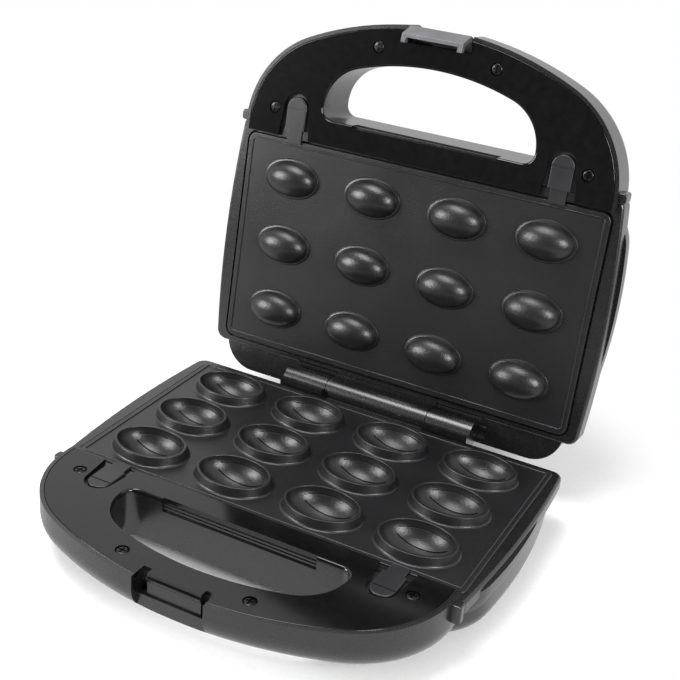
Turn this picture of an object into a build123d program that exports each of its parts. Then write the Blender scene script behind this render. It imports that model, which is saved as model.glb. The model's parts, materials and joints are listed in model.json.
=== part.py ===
from build123d import *
from math import atan2, cos, degrees, radians, sin, sqrt
import os

os.makedirs("parts", exist_ok=True)

# Clamshell cooker that bakes twelve hollow half nuts at a time.
# Two D-fronted housings meet at a rear hinge. Each holds a removable mould plate
# over its own heating element, and has a handle hole through its front end.
# +X is the user's right, -Y the front, +Z up. The origin is on the table.

# Placing
rim_height = 38.0            # table to the plane of the cup rims
grid_y = 1.3                 # centre of the mould grid, from the origin
open_angle = 98.0            # lid opening at its stop
closing_gap = 0.4            # lid's moulding plane to the cup rims, lid closed

# Every level below is a height along a half's own axis, which points at the other
# half. Zero is the plane of the cup rims, or in the lid the face of its plate.

# Hinge
hinge_y = 73.8               # behind the mould grid's centre
hinge_drop = 4.6             # axis below the cup rims
knuckle_radius = 7.0
knuckle_inner = 31.2         # half length of the middle knuckle
knuckle_outer = 57.6
knuckle_gap = 0.4
knuckle_clearance = 0.9
knuckle_web_rise = 3.0
pin_radius = 2.2
pin_running = 0.05
pin_inset = 2.0
pin_reach = 20.0             # into the middle knuckle
relief_half = 62.0

# Handle end, seen from above
front_half = 107.0
front_apex = 133.0
front_radius = 177.0
front_corner = 56.0
front_depth = 22.5           # moulding plane to underside at the tip
front_slope = 6.5            # degrees, underside of the handle end
front_round = 14.0
wall = 2.4

# Body
body_bulge = 115.8
body_bulge_y = -8.0
body_side_radius = 300.0
body_front = 68.0
body_back = 66.0
body_depth = 33.5
body_round = 20.0
body_corner = 30.0
body_top = 9.0               # top of the bowl, below the moulding plane
roof_thickness = 2.0
overshoot = 1.0              # by which a cut runs past the face it opens

# Rim that flanks the plate
rim_front_half = 109.8
rim_bulge = 114.4
rim_back_half = 112.0
rim_front = 68.0
rim_corner = 6.0
rim_round = 1.6
rim_base = 12.3
lower_rim_level = -6.0
upper_rim_level = -0.8

# Tabs where the handle end meets the rim
ear_half = 111.0
ear_width = 7.0
ear_length = 5.6
ear_y = 68.2
ear_height = 9.0
ear_round = 1.6
ear_below_deck = 1.6

# Rear hood of the lid
hood_front = 50.0
hood_back = 80.5
hood_half = 104.5
hood_corner = 18.0
hood_level = -2.0
hood_round = 12.0

# Deck round the handle hole
lower_deck_level = -2.9
upper_deck_level = 2.9
deck_thickness = 2.2
deck_inset = 2.0
deck_back = 61.0
deck_seam = 0.25
deck_edge_round = 0.4
shelf_width = 3.0
shelf_thickness = 1.6

# Handle hole
hole_half = 60.8
hole_back = 75.0
hole_apex = 111.8
hole_radius = 140.0
hole_corner = 25.0
hole_back_corner = 6.0
hole_round = 1.2
notch_half = 42.0
notch_depth = 1.4
notch_height = 7.0
notch_rib = 0.9

# Mould plates
plate_x = 211.0
plate_y = 121.0
plate_centre_y = 1.0
plate_corner = 5.0
plate_thickness = 2.5
plate_pocket_gap = 1.2
plate_seat = 3.6             # ledge that carries the plate's edge
bead_inset = 2.4
bead_width = 1.1
bead_height = 0.5
lower_plate_level = -5.0
upper_plate_level = 0.0

# Moulds
columns = 4
rows = 3
pitch_x = 50.0
pitch_y = 38.3
cup_x = 19.8
cup_y = 14.75
cup_lip = 1.1
cup_flare = 1.0
cup_depth = 12.0
cup_wall = 2.0
seam_x = 12.4
seam_y = 6.6
seam_step = 0.7
pad_x = 16.8
pad_y = 11.1
pad_height = 0.8
dome_x = 15.5
dome_y = 9.8
dome_height = 9.0

# Reflector pans and heating elements
pan_sheet = 0.8
pan_flange = 0.8
pan_gap = 0.4                # round the pan in its opening
pan_depth = 19.0             # plate face to pan floor
pan_corner = 14.0            # seen from above
pan_round = 6.0
element_radius = 3.2
element_end = 106.0
element_turn_x = 74.0
element_stand = 1.5          # over the pan floor
element_hole_gap = 0.4
clamp_places = (-52.0, 52.0)
clamp_width = 9.0
clamp_foot = 6.5
clamp_sheet = 1.0
fit_gap = 0.05

# Screws through the decks
screw_places = ((-90.0, -76.0), (-33.2, -118.4), (33.2, -118.4), (90.0, -76.0))
screw_head_radius = 3.0
screw_head_height = 1.4
screw_head_round = 0.5
screw_shank_radius = 1.5
screw_length = 9.0
screw_recess_radius = 3.4
screw_hole_radius = 1.7
screw_seat_gap = 0.05
boss_radius = 4.2

# Release buttons
button_x = 76.5
button_back = 66.0
button_front = 83.8
button_half = 6.1
button_travel = 1.6
button_sink = 0.3
button_round = 0.7
slot_half = 9.7
slot_tip_radius = 7.6
slot_tip_y = 78.2
nose_half = 4.5
nose_root = 1.0              # into the tab
nose_reach = 1.2             # over the plate's edge
nose_thickness = 1.3
nose_clearance = 0.15
keeper_extra = 3.8           # flange under the deck, beyond the tab
keeper_thickness = 1.5
keeper_play = 0.2
tray_side = 2.0
spring_pressed = 2.0         # left for the spring when a button is pushed home
spring_length = button_travel + spring_pressed
spring_sheet = 0.4
spring_half = 6.0
spring_gap = 0.3
groove_y = 77.6
groove_width = 1.0
groove_depth = 0.6

# Latch
latch_half = 17.0
latch_pivot_y = 127.0
latch_pivot_z = -5.5
latch_barrel_radius = 2.8
latch_pin_radius = 1.5
latch_pin_inset = 1.9        # ends of the pin in the walls beside the recess
latch_top_y = 132.2
latch_top_z = 2.5
latch_end_y = 128.6
latch_end_z = 12.6
latch_thickness = 2.8
latch_root = 1.0             # arm's inner face behind the pivot
barb_tip_y = 123.8
barb_tip_z = 13.4
barb_face_z = 9.6
recess_half = 18.4
recess_panel_y = 127.5
recess_floor_y = 122.6
latch_room_y = 123.2
latch_room_z = -9.6
ledge_top = 5.0              # below the moulding plane
ledge_underside = 8.6
ledge_lean = 1.6
catch_bottom = 15.5
deck_cut_y = 126.5            # deck's straight edge over the recess
pocket_inner = 14.0
pocket_bottom = 12.0

# Feet
foot_x = 78.0
foot_rear_y = 55.0
foot_front_y = -78.0
foot_radius = 7.0
foot_boss_radius = 9.0
foot_height = 3.0
foot_recess = 1.0
foot_boss_bury = 7.0

# Cord gland, terminals, thermostat, fuse and lamps
gland_x = 70.0
gland_z = -18.0
gland_boss_radius = 7.0
gland_boss_front = 60.4
gland_neck_radius = 4.0
gland_bore_radius = 2.8
gland_collar_radius = 5.5
gland_collar = 1.6
gland_reach = 6.0            # beyond the base's back
terminal_place = (56.0, 36.0)
terminal_x = 30.0
terminal_y = 14.0
terminal_z = 5.4
terminal_round = 1.5
thermostat_place = (0.0, 22.0)
thermostat_radius = 8.0
thermostat_height = 8.0
fuse_place = (-40.0, 19.0)
fuse_radius = 2.2
fuse_length = 16.0
lamp_places = (("power_lamp", -9.0), ("ready_lamp", 9.0))
lamp_y = -40.0
lamp_radius = 3.6
lamp_flange_radius = 5.0
lamp_flange = 1.0
lamp_dome = 1.0
lamp_tail = 5.0

sides = ((-1, "left"), (1, "right"))
plate_front = plate_y / 2 - plate_centre_y
pocket_front = plate_front + plate_pocket_gap
through = 2 * body_depth

base_frame = Plane(origin=(0, grid_y, rim_height), x_dir=(1, 0, 0), z_dir=(0, 0, 1))

# The lid is drawn in the same local axes as the base, front at -y and the moulds up,
# and its plane is the base's plane turned over and swung open about the hinge.
opening = radians(open_angle)
lid_y_dir = Vector(0, cos(opening), -sin(opening))
lid_z_dir = Vector(0, -sin(opening), -cos(opening))
hinge_axis = Vector(0, grid_y + hinge_y, rim_height - hinge_drop)
lid_hinge_rise = hinge_drop + closing_gap
lid_origin = hinge_axis - lid_y_dir * hinge_y - lid_z_dir * lid_hinge_rise
lid_frame = Plane(origin=lid_origin, x_dir=(-1, 0, 0), z_dir=lid_z_dir)

# Its z runs out through the back of the base
gland_plane = Plane(origin=(gland_x, grid_y + gland_boss_front, rim_height + gland_z),
                    x_dir=(1, 0, 0), z_dir=(0, 1, 0))

# name, frame, sign of the user's right in it, and the levels of its faces
halves = (
    ("lower", base_frame, 1, lower_deck_level, lower_rim_level, lower_plate_level),
    ("upper", lid_frame, -1, upper_deck_level, upper_rim_level, upper_plate_level),
)


def height_axis(frame):
    return Axis(frame.origin, frame.z_dir)


def depth_axis(frame):
    return Axis(frame.origin, frame.y_dir)


def section_plane(frame, x):
    # Plane across the half at x, its own x running to the back and its y up
    origin = frame.origin + frame.x_dir * x
    return Plane(origin=origin, x_dir=frame.y_dir, z_dir=frame.x_dir)


def save(piece, name):
    piece.part.label = name
    export_step(piece.part, "parts/%s.step" % name)


# Outlines

def rectangle_between(x_half, front, back):
    with BuildSketch() as area:
        with Locations((0, (back + front) / 2)):
            Rectangle(2 * x_half, back - front)
    return area.sketch


def front_outline(inset, half=front_half, apex=front_apex, radius=front_radius,
                  corner=front_corner, back=deck_back):
    # D shape: a shallow arc at the front, rounded into straight sides
    x = half - inset
    arc = radius - inset
    tip = apex - inset
    shoulder = tip - arc + sqrt(arc ** 2 - x ** 2)
    with BuildSketch() as outline:
        with BuildLine():
            Polyline((x, -shoulder), (x, -back), (-x, -back), (-x, -shoulder))
            ThreePointArc((-x, -shoulder), (0, -tip), (x, -shoulder))
        make_face()
        fillet(outline.vertices().group_by(Axis.Y)[0], corner - inset)
    return outline.sketch


def hole_outline(grow):
    # The handle hole follows the deck's front, with its own tighter corners
    with BuildSketch() as outline:
        add(front_outline(-grow, hole_half, hole_apex, hole_radius, hole_corner, hole_back - grow))
        fillet(outline.vertices().group_by(Axis.Y)[-1], hole_back_corner + grow)
    return outline.sketch


def body_side(y):
    return body_bulge - body_side_radius + sqrt(body_side_radius ** 2 - (y - body_bulge_y) ** 2)


def body_outline(inset):
    front_x = body_side(-body_front) - inset
    back_x = body_side(body_back) - inset
    front_y = inset - body_front
    back_y = body_back - inset
    with BuildSketch() as outline:
        with BuildLine():
            Line((-front_x, front_y), (front_x, front_y))
            ThreePointArc((front_x, front_y), (body_bulge - inset, body_bulge_y), (back_x, back_y))
            Line((back_x, back_y), (-back_x, back_y))
            ThreePointArc((-back_x, back_y), (inset - body_bulge, body_bulge_y), (-front_x, front_y))
        make_face()
        fillet(outline.vertices(), body_corner - inset)
    return outline.sketch


def rim_outline(inset):
    front_x = rim_front_half - inset
    back_x = rim_back_half - inset
    front_y = inset - rim_front
    back_y = body_back - inset
    with BuildSketch() as outline:
        with BuildLine():
            Line((-front_x, front_y), (front_x, front_y))
            ThreePointArc((front_x, front_y), (rim_bulge - inset, 0), (back_x, back_y))
            Line((back_x, back_y), (-back_x, back_y))
            ThreePointArc((-back_x, back_y), (inset - rim_bulge, 0), (-front_x, front_y))
        make_face()
        fillet(outline.vertices(), rim_corner - inset)
    return outline.sketch


def hood_outline(inset):
    with BuildSketch() as outline:
        add(rectangle_between(hood_half - inset, hood_front, hood_back - inset))
        fillet(outline.vertices().group_by(Axis.Y)[-1], hood_corner - inset)
    return outline.sketch


def plate_outline(grow, corner=plate_corner):
    # The plate's outline, or its seat, pocket or pan made smaller or larger
    with BuildSketch() as outline:
        with Locations((0, plate_centre_y)):
            Rectangle(plate_x + 2 * grow, plate_y + 2 * grow)
        fillet(outline.vertices(), corner + max(grow, 0))
    return outline.sketch


def slot_outline(x):
    # Slot for a release button: wide at the plate, closing to a round end
    with BuildSketch() as outline:
        with Locations((x, -slot_tip_y)):
            Circle(slot_tip_radius)
        with BuildLine():
            Polyline((x - slot_half, -deck_back), (x + slot_half, -deck_back),
                     (x + slot_tip_radius, -slot_tip_y), (x - slot_tip_radius, -slot_tip_y), close=True)
        make_face()
    return outline.sketch


def tab_outline(x, grow, back):
    # Button tab with its rounded front end
    radius = button_half + grow
    with BuildSketch() as outline:
        with Locations((x, button_half - button_front)):
            Circle(radius)
        with Locations((x, (button_half - button_front - back) / 2)):
            Rectangle(2 * radius, button_front - button_half - back)
    return outline.sketch


def pocket_outline():
    # Narrow pockets at both ends of the latch's recess
    pocket_width = recess_half - pocket_inner
    with BuildSketch() as outline:
        with Locations((-recess_half + pocket_width / 2, -(front_apex + recess_floor_y) / 2),
                       (recess_half - pocket_width / 2, -(front_apex + recess_floor_y) / 2)):
            Rectangle(pocket_width, front_apex - recess_floor_y)
    return outline.sketch


def posts_outline():
    # What stands from floor to deck: the hole's sleeve, screw bosses and latch wall
    with BuildSketch() as outline:
        add(hole_outline(wall))
        with Locations(*screw_places):
            Circle(boss_radius)
        add(rectangle_between(recess_half + wall, -front_apex, wall - recess_floor_y))
    return outline.sketch


# Blocks of the housings

def front_block(frame, inset, top, back=deck_back):
    # Handle end: its underside rises towards the tip and rolls up into the wall
    start = front_depth + front_round
    tilt = Plane(frame.location * Location((0, -front_apex, inset - front_depth), (-front_slope, 0, 0)))
    with BuildPart() as block:
        with BuildSketch(frame.offset(-start)):
            add(front_outline(inset, back=back))
        extrude(amount=start + top)
        split(bisect_by=tilt, keep=Keep.TOP)
        underside = block.faces().sort_by(height_axis(frame))[0]
        fillet(underside.edges().sort_by(depth_axis(frame))[:-1], front_round - inset)
    return block.part


def body_block(frame, inset, top):
    with BuildPart() as block:
        with BuildSketch(frame.offset(inset - body_depth)):
            add(body_outline(inset))
        extrude(amount=body_depth - inset + top)
        fillet(block.edges().group_by(height_axis(frame))[0], body_round - inset)
    return block.part


def hood_block(frame, inset, top):
    with BuildPart() as block:
        with BuildSketch(frame.offset(inset - body_depth)):
            add(hood_outline(inset))
        extrude(amount=body_depth - inset + top)
        fillet(block.edges().group_by(height_axis(frame))[0], hood_round - inset)
    return block.part


def rim_block(frame, level):
    with BuildPart() as block:
        with BuildSketch(frame.offset(-rim_base)):
            add(rim_outline(0))
        extrude(amount=rim_base + level)
        fillet(block.edges().group_by(height_axis(frame))[-1], rim_round)
    return block.part


def cavity(frame, deck_level, roof_underside):
    # Hollow of a housing, less the posts that stand in it
    back = deck_back + wall
    with BuildPart() as room:
        add(front_block(frame, wall, roof_underside, back))
        with BuildSketch(frame.offset(roof_underside)):
            add(front_outline(deck_inset + shelf_width, back=back))
        extrude(amount=deck_level - deck_thickness - shelf_thickness - roof_underside)
        add(body_block(frame, wall, -rim_base))
        with BuildSketch(frame.offset(-rim_base)):
            add(rim_outline(wall))
        extrude(amount=rim_base + roof_underside)
        with BuildSketch(frame.offset(-body_depth)):
            add(posts_outline())
        extrude(amount=through, mode=Mode.SUBTRACT)
    return room.part


def ear(frame, side, level):
    with BuildPart() as tab:
        with BuildSketch(frame.offset(level - ear_height)):
            with Locations((side * (ear_half - ear_width / 2), -ear_y)):
                RectangleRounded(ear_width, ear_length, ear_round)
        extrude(amount=ear_height)
        fillet(tab.edges().group_by(height_axis(frame))[-1], ear_round / 2)
    return tab.part


def housing_shell(frame, deck_level, rim_level, plate_level, hooded):
    seat = plate_level - plate_thickness - pan_flange
    roof_underside = seat - roof_thickness
    shelf_level = deck_level - deck_thickness
    tray_room = keeper_thickness + 2 * keeper_play
    tray_half = button_half + keeper_extra
    tray_front = button_front + keeper_extra + spring_length
    with BuildPart() as shell:
        add(front_block(frame, 0, deck_level))
        add(body_block(frame, 0, -body_top))
        add(rim_block(frame, rim_level))
        for side, side_name in sides:
            add(ear(frame, side, deck_level - ear_below_deck))
        if hooded:
            add(hood_block(frame, 0, hood_level))
            add(hood_block(frame, wall, roof_underside), mode=Mode.SUBTRACT)
        add(cavity(frame, deck_level, roof_underside), mode=Mode.SUBTRACT)
        # seat for the deck, and the shelf under it
        with BuildSketch(frame.offset(shelf_level)):
            add(front_outline(deck_inset, back=pocket_front))
        extrude(amount=deck_thickness, mode=Mode.SUBTRACT)
        with BuildSketch(frame.offset(shelf_level)):
            add(front_outline(deck_inset + shelf_width, back=deck_back + wall))
            add(posts_outline(), mode=Mode.SUBTRACT)
        extrude(amount=-shelf_thickness, mode=Mode.SUBTRACT)
        # seat for the plate and the pan under it
        with BuildSketch(frame.offset(seat)):
            add(plate_outline(plate_pocket_gap))
        extrude(amount=front_depth, mode=Mode.SUBTRACT)
        with BuildSketch(frame.offset(seat)):
            add(plate_outline(-plate_seat))
        extrude(amount=-roof_thickness, mode=Mode.SUBTRACT)
        # handle hole, with a notch along its rear edge
        with BuildSketch(frame.offset(-body_depth)):
            add(hole_outline(0))
        extrude(amount=through, mode=Mode.SUBTRACT)
        with BuildSketch(frame.offset(deck_level - notch_height)):
            add(rectangle_between(notch_half, -hole_back, notch_depth - hole_back))
        extrude(amount=notch_height, mode=Mode.SUBTRACT)
        for step in (1, 2):
            with BuildSketch(frame.offset(shelf_level - 2 * step * notch_rib)):
                add(rectangle_between(notch_half, notch_depth / 2 - hole_back, notch_depth - hole_back))
            extrude(amount=notch_rib)
        # trays that carry the release buttons
        for side, side_name in sides:
            with BuildSketch(frame.offset(shelf_level - tray_room - shelf_thickness)):
                with Locations((side * button_x, -(tray_front + tray_side + pocket_front) / 2)):
                    Rectangle(2 * (tray_half + tray_side), tray_front + tray_side - pocket_front)
            extrude(amount=tray_room + shelf_thickness)
            with BuildSketch(frame.offset(shelf_level - tray_room)):
                with Locations((side * button_x, keeper_play - (tray_front + button_back) / 2)):
                    Rectangle(2 * (tray_half + keeper_play), tray_front - button_back + 2 * keeper_play)
            extrude(amount=tray_room, mode=Mode.SUBTRACT)
            with BuildSketch(frame.offset(plate_level + nose_clearance - keeper_play)):
                with Locations((side * button_x, -(button_back + pocket_front) / 2)):
                    Rectangle(2 * (nose_half + keeper_play), button_back - pocket_front)
            extrude(amount=nose_thickness + keeper_play, mode=Mode.SUBTRACT)
        with BuildSketch(frame.offset(shelf_level)):
            with Locations(*screw_places):
                Circle(screw_shank_radius + fit_gap)
        extrude(amount=-screw_length, mode=Mode.SUBTRACT)
    return shell.part


def pan_block(frame, inset, floor, top):
    with BuildPart() as block:
        with BuildSketch(frame.offset(floor + inset)):
            add(plate_outline(-plate_seat - pan_gap - inset, pan_corner - inset))
        extrude(amount=top - floor - inset)
        fillet(block.edges().group_by(height_axis(frame))[0], pan_round - inset)
    return block.part


def ellipsoid(x, y, z):
    return scale(Sphere(1), by=(x, y, z))


def round_about_hinge(frame, x_from, x_to, height, radius):
    with BuildPart() as bore:
        with BuildSketch(section_plane(frame, x_from)):
            with Locations((hinge_y, height)):
                Circle(radius)
        extrude(amount=x_to - x_from)
    return bore.part


# Base housing, with its half of the hinge, its feet's bosses and the latch's catch
bore_radius = pin_radius + pin_running
pin_end = knuckle_outer - pin_inset
with BuildPart() as lower_housing:
    add(housing_shell(base_frame, lower_deck_level, lower_rim_level, lower_plate_level, False))
    for side, side_name in sides:
        near = side * knuckle_inner
        far = side * knuckle_outer
        add(round_about_hinge(base_frame, min(near, far), max(near, far), -hinge_drop, knuckle_radius))
        with BuildSketch(base_frame.offset(-hinge_drop - knuckle_radius)):
            with Locations(((near + far) / 2, (hinge_y + body_back - wall) / 2)):
                Rectangle(knuckle_outer - knuckle_inner, hinge_y - body_back + wall)
        extrude(amount=knuckle_radius + knuckle_web_rise)
        bore_far = side * pin_end
        add(round_about_hinge(base_frame, min(near, bore_far), max(near, bore_far), -hinge_drop,
                             bore_radius), mode=Mode.SUBTRACT)
    with BuildSketch(Plane.XY.offset(foot_height)):
        for foot_y in (foot_rear_y, foot_front_y):
            with Locations((-foot_x, grid_y + foot_y), (foot_x, grid_y + foot_y)):
                Circle(foot_boss_radius)
    extrude(amount=foot_boss_bury)
    with BuildSketch(Plane.XY.offset(foot_height)):
        for foot_y in (foot_rear_y, foot_front_y):
            with Locations((-foot_x, grid_y + foot_y), (foot_x, grid_y + foot_y)):
                Circle(foot_radius + fit_gap)
    extrude(amount=foot_recess, mode=Mode.SUBTRACT)
    # boss and bore for the cord gland
    with BuildSketch(gland_plane):
        Circle(gland_boss_radius)
    extrude(amount=body_back - gland_boss_front)
    with BuildSketch(gland_plane):
        Circle(gland_neck_radius + fit_gap)
    extrude(amount=body_back - gland_boss_front, mode=Mode.SUBTRACT)
    # recess for the latch: a flat panel, a ledge and the room under it for the barb
    with BuildSketch(section_plane(base_frame, -recess_half)):
        with BuildLine():
            Polyline((-recess_panel_y, 0), (-recess_panel_y, -ledge_top),
                     (ledge_lean - recess_panel_y, -ledge_underside), (-recess_floor_y, -ledge_underside),
                     (-recess_floor_y, -catch_bottom), (-recess_panel_y, -catch_bottom - overshoot),
                     (-recess_panel_y, -body_depth), (-front_apex - overshoot, -body_depth),
                     (-front_apex - overshoot, 0), close=True)
        make_face()
    extrude(amount=2 * recess_half, mode=Mode.SUBTRACT)
    with BuildSketch(base_frame.offset(-pocket_bottom)):
        add(pocket_outline())
    extrude(amount=pocket_bottom, mode=Mode.SUBTRACT)
save(lower_housing, "lower_housing")

# Lid housing, with the rear hood, the middle knuckle and the latch's room
with BuildPart() as upper_housing:
    add(housing_shell(lid_frame, upper_deck_level, upper_rim_level, upper_plate_level, True))
    add(round_about_hinge(lid_frame, -relief_half, relief_half, lid_hinge_rise,
                         knuckle_radius + knuckle_clearance), mode=Mode.SUBTRACT)
    middle = knuckle_inner - knuckle_gap
    add(round_about_hinge(lid_frame, -middle, middle, lid_hinge_rise, knuckle_radius))
    with BuildSketch(lid_frame.offset(hood_level - knuckle_clearance - fit_gap)):
        with Locations((0, hinge_y)):
            Rectangle(2 * middle, 2 * (hood_back - hinge_y))
    extrude(amount=lid_hinge_rise - hood_level + knuckle_clearance)
    for side, side_name in sides:
        near = side * (knuckle_inner - pin_reach - knuckle_gap)
        far = side * knuckle_inner
        add(round_about_hinge(lid_frame, min(near, far), max(near, far), lid_hinge_rise, bore_radius),
            mode=Mode.SUBTRACT)
    with BuildSketch(section_plane(lid_frame, -recess_half)):
        with BuildLine():
            Polyline((-latch_room_y, front_depth), (-latch_room_y, latch_room_z),
                     (-recess_panel_y, latch_room_z), (-recess_panel_y, -body_depth),
                     (-front_apex - overshoot, -body_depth), (-front_apex - overshoot, front_depth),
                     close=True)
        make_face()
    extrude(amount=2 * recess_half, mode=Mode.SUBTRACT)
    with BuildSketch(section_plane(lid_frame, -recess_half - latch_pin_inset)):
        with Locations((-latch_pivot_y, latch_pivot_z)):
            Circle(latch_pin_radius + fit_gap)
    extrude(amount=2 * (recess_half + latch_pin_inset), mode=Mode.SUBTRACT)
    with BuildSketch(lid_frame.offset(-body_depth)):
        with Locations(*[(x, lamp_y) for name, x in lamp_places]):
            Circle(lamp_radius + fit_gap)
    extrude(amount=wall, mode=Mode.SUBTRACT)
save(upper_housing, "upper_housing")

# Pieces that both halves have
for half, frame, right, deck_level, rim_level, plate_level in halves:
    shelf_level = deck_level - deck_thickness
    seat = plate_level - plate_thickness - pan_flange
    pan_floor = plate_level - pan_depth
    element_level = pan_floor + pan_sheet + element_stand + element_radius

    # Deck, with its hole, button slots, screw recesses and the cut for the latch
    with BuildPart() as deck:
        with BuildSketch(frame.offset(shelf_level)):
            add(front_outline(deck_inset + deck_seam))
            add(hole_outline(0), mode=Mode.SUBTRACT)
        extrude(amount=deck_thickness)
        fillet(deck.faces().sort_by(height_axis(frame))[-1].inner_wires()[0].edges(), hole_round)
        fillet(deck.faces().sort_by(height_axis(frame))[-1].outer_wire().edges(), deck_edge_round)
        with BuildSketch(frame.offset(shelf_level)):
            add(rectangle_between(notch_half, -hole_back - hole_round, notch_depth - hole_back))
            for side, side_name in sides:
                add(slot_outline(side * button_x))
            if half == "lower":
                add(rectangle_between(recess_half, -front_apex, -deck_cut_y))
                add(pocket_outline())
            else:
                add(rectangle_between(recess_half, -front_apex, -latch_room_y))
            with Locations(*screw_places):
                Circle(screw_hole_radius)
        extrude(amount=deck_thickness, mode=Mode.SUBTRACT)
        with BuildSketch(frame.offset(deck_level)):
            with Locations(*screw_places):
                Circle(screw_recess_radius)
        extrude(amount=-screw_head_height - screw_seat_gap, mode=Mode.SUBTRACT)
    save(deck, half + "_deck")

    with BuildPart() as screws:
        with BuildSketch(frame.offset(deck_level - screw_head_height)):
            with Locations(*screw_places):
                Circle(screw_head_radius)
        extrude(amount=screw_head_height)
        fillet(screws.edges().group_by(height_axis(frame))[-1], screw_head_round)
        with BuildSketch(frame.offset(deck_level - screw_head_height)):
            with Locations(*screw_places):
                Circle(screw_shank_radius)
        extrude(amount=-screw_length)
    save(screws, half + "_deck_screws")

    # Release buttons: tab, keeper flange under the deck and nose over the plate
    for side, side_name in sides:
        x = side * right * button_x
        keeper_top = shelf_level - keeper_play
        with BuildPart() as button:
            with BuildSketch(frame.offset(keeper_top - keeper_thickness)):
                add(tab_outline(x, keeper_extra, button_back))
            extrude(amount=keeper_thickness)
            with BuildSketch(frame.offset(keeper_top)):
                add(tab_outline(x, 0, button_back))
            extrude(amount=deck_level - button_sink - keeper_top)
            fillet(button.faces().sort_by(height_axis(frame))[-1].edges(), button_round)
            with BuildSketch(frame.offset(deck_level - button_sink)):
                with Locations((x, -groove_y)):
                    Rectangle(2 * button_half, groove_width)
            extrude(amount=-groove_depth, mode=Mode.SUBTRACT)
            with BuildSketch(frame.offset(plate_level + nose_clearance)):
                with Locations((x, (nose_reach - plate_front - button_back - nose_root) / 2)):
                    Rectangle(2 * nose_half, button_back + nose_root - plate_front + nose_reach)
            extrude(amount=nose_thickness)
        save(button, "%s_release_button_%s" % (half, side_name))

        # Bowed leaf spring between the keeper and the end of its tray
        crown = button_front + keeper_extra + spring_gap
        heel = button_front + keeper_extra + spring_length - fit_gap
        with BuildPart() as spring:
            with BuildSketch(frame.offset(keeper_top - keeper_thickness)):
                with BuildLine():
                    ThreePointArc((x - spring_half, -heel), (x, -crown), (x + spring_half, -heel))
                    Line((x + spring_half, -heel), (x + spring_half - spring_sheet, -heel))
                    ThreePointArc((x + spring_half - spring_sheet, -heel), (x, -crown - spring_sheet),
                                  (x - spring_half + spring_sheet, -heel))
                    Line((x - spring_half + spring_sheet, -heel), (x - spring_half, -heel))
                make_face()
            extrude(amount=keeper_thickness)
        save(spring, "%s_button_spring_%s" % (half, side_name))

    # Pan under the plate, and the U-shaped element clamped to its floor
    with BuildPart() as pan:
        with BuildSketch(frame.offset(seat)):
            add(plate_outline(-pan_gap))
        extrude(amount=pan_flange)
        add(pan_block(frame, 0, pan_floor, seat))
        add(pan_block(frame, pan_sheet, pan_floor, seat + pan_flange), mode=Mode.SUBTRACT)
        with BuildSketch(section_plane(frame, 0)):
            with Locations((-pitch_y / 2, element_level), (pitch_y / 2, element_level)):
                Circle(element_radius + element_hole_gap)
        extrude(amount=element_end, mode=Mode.SUBTRACT)
    save(pan, half + "_reflector_pan")

    with BuildPart() as element:
        with BuildLine(frame.offset(element_level)) as element_path:
            Line((element_end, -pitch_y / 2), (-element_turn_x, -pitch_y / 2))
            ThreePointArc((-element_turn_x, -pitch_y / 2), (-element_turn_x - pitch_y / 2, 0),
                          (-element_turn_x, pitch_y / 2))
            Line((-element_turn_x, pitch_y / 2), (element_end, pitch_y / 2))
        with BuildSketch(section_plane(frame, element_end)):
            with Locations((-pitch_y / 2, element_level)):
                Circle(element_radius)
        sweep(path=element_path.line)
    save(element, half + "_heating_element")

    with BuildPart() as clamps:
        for x in clamp_places:
            with BuildSketch(section_plane(frame, x - clamp_width / 2)):
                for y in (-pitch_y / 2, pitch_y / 2):
                    with Locations((y, element_level)):
                        Circle(element_radius + fit_gap + clamp_sheet)
                    with Locations((y, (element_level + pan_floor + pan_sheet) / 2)):
                        Rectangle(element_radius, element_level - pan_floor - pan_sheet)
                    with Locations((y, pan_floor + pan_sheet + clamp_sheet / 2)):
                        Rectangle(2 * clamp_foot, clamp_sheet)
                    with Locations((y, element_level)):
                        Circle(element_radius + fit_gap, mode=Mode.SUBTRACT)
            extrude(amount=clamp_width)
    save(clamps, half + "_heater_clamps")

# Cup plate: each cup stands on the plate with a thin lip, and hangs below it
cup_rise = -lower_plate_level
bowl_x = cup_x - cup_lip
bowl_y = cup_y - cup_lip
with BuildPart() as bowl:
    add(ellipsoid(bowl_x, bowl_y, cup_depth))
    with BuildSketch(Plane.XY.offset(-cup_depth - seam_step)):
        with BuildLine():
            ThreePointArc((-seam_x, 0), (0, seam_y), (seam_x, 0))
            ThreePointArc((seam_x, 0), (0, -seam_y), (-seam_x, 0))
        make_face()
    extrude(amount=cup_depth)
    add(ellipsoid(bowl_x + seam_step, bowl_y + seam_step, cup_depth + seam_step), mode=Mode.INTERSECT)
with BuildPart() as cup_shell:
    add(ellipsoid(bowl_x + cup_wall, bowl_y + cup_wall, cup_depth + cup_wall))
    split(bisect_by=Plane.XY.offset(-cup_rise - plate_thickness / 2), keep=Keep.BOTTOM)

with BuildPart(base_frame) as lower_mould_plate:
    with BuildSketch(base_frame.offset(lower_plate_level)):
        add(plate_outline(0))
    extrude(amount=-plate_thickness)
    with BuildSketch(base_frame.offset(lower_plate_level)):
        add(plate_outline(-bead_inset))
        add(plate_outline(-bead_inset - bead_width), mode=Mode.SUBTRACT)
    extrude(amount=bead_height)
    with BuildSketch(base_frame.offset(lower_plate_level)):
        with GridLocations(pitch_x, pitch_y, columns, rows):
            Ellipse(cup_x + cup_flare, cup_y + cup_flare)
    extrude(amount=cup_rise, taper=degrees(atan2(cup_flare, cup_rise)))
    with GridLocations(pitch_x, pitch_y, columns, rows):
        add(cup_shell.part)
        add(bowl.part, mode=Mode.SUBTRACT)
save(lower_mould_plate, "lower_mould_plate")

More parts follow.
